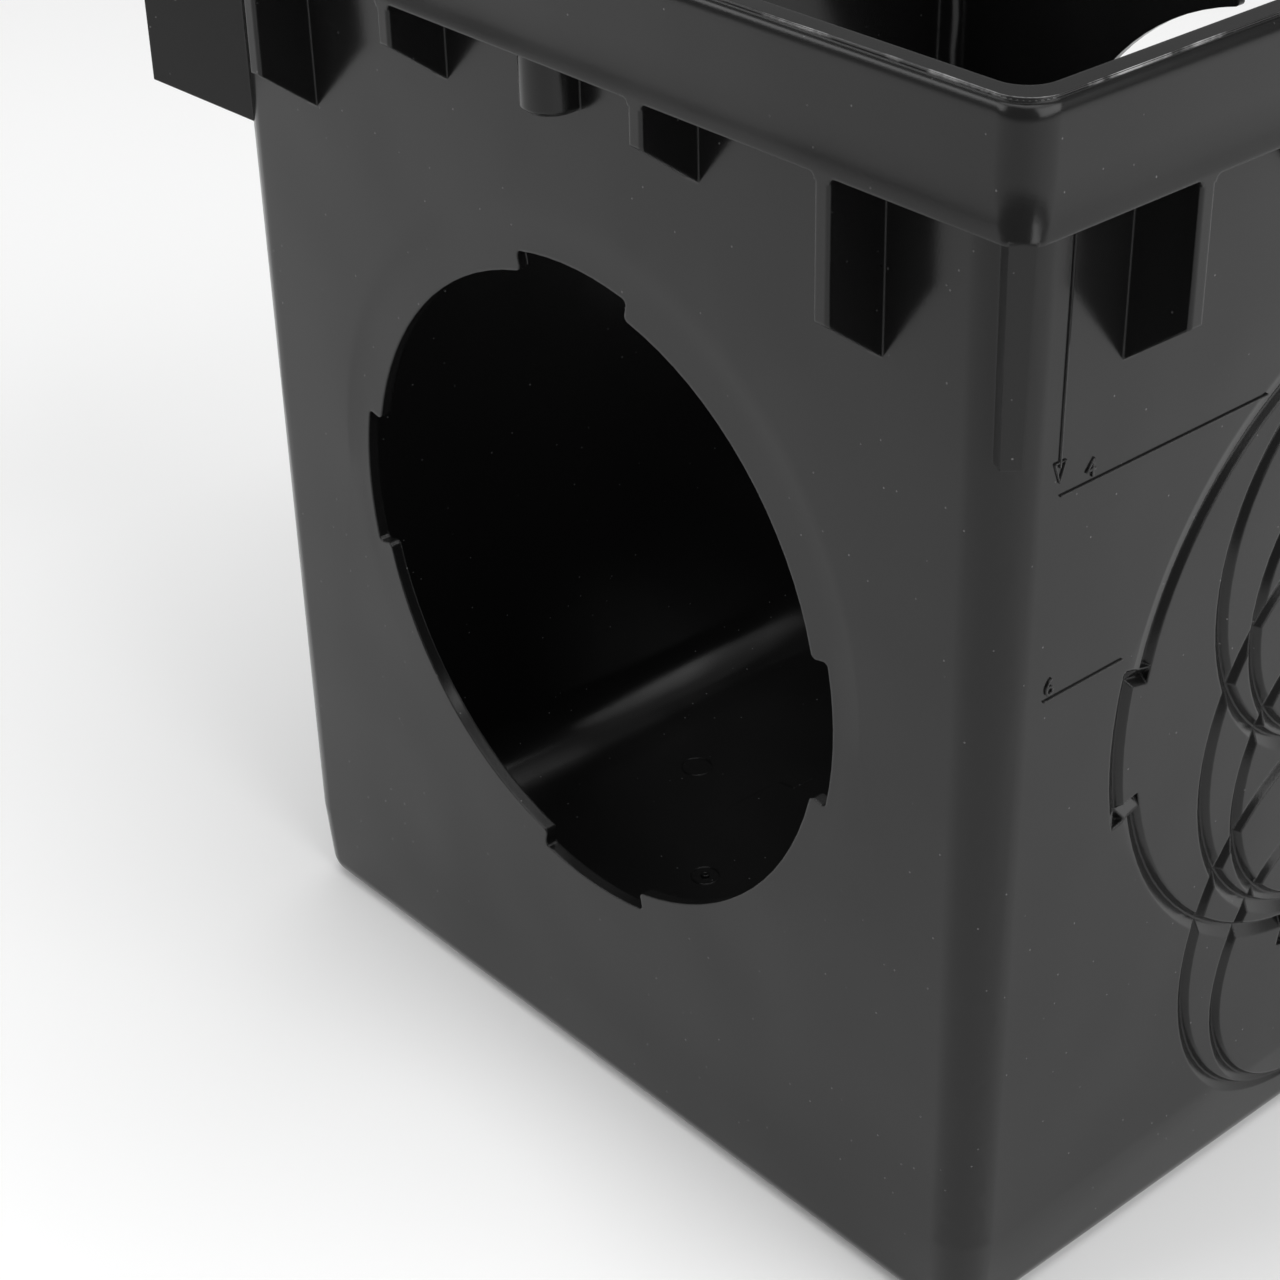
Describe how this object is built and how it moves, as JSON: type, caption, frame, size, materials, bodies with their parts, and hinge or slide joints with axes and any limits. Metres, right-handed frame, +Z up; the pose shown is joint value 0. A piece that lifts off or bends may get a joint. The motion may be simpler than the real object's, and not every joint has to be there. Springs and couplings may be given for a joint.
{
  "type": "catch basin",
  "caption": "Square one-piece plastic catch basin: open box with a flanged rim that seats a grate, bayonet pipe openings front and back, knockout panels on the sides.",
  "frame": {"origin": "middle of the underside", "axes": "+Z up out of the open top; +X and -X face the sides with knockout grooves; +Y and -Y face the sides with open pipe sockets"},
  "size_m": [0.309, 0.309, 0.332],
  "materials": {
    "black_plastic": "satin injection-moulded black polyolefin"
  },
  "bodies": {
    "root": {"basin_body": "black_plastic"}
  },
  "joints": []
}
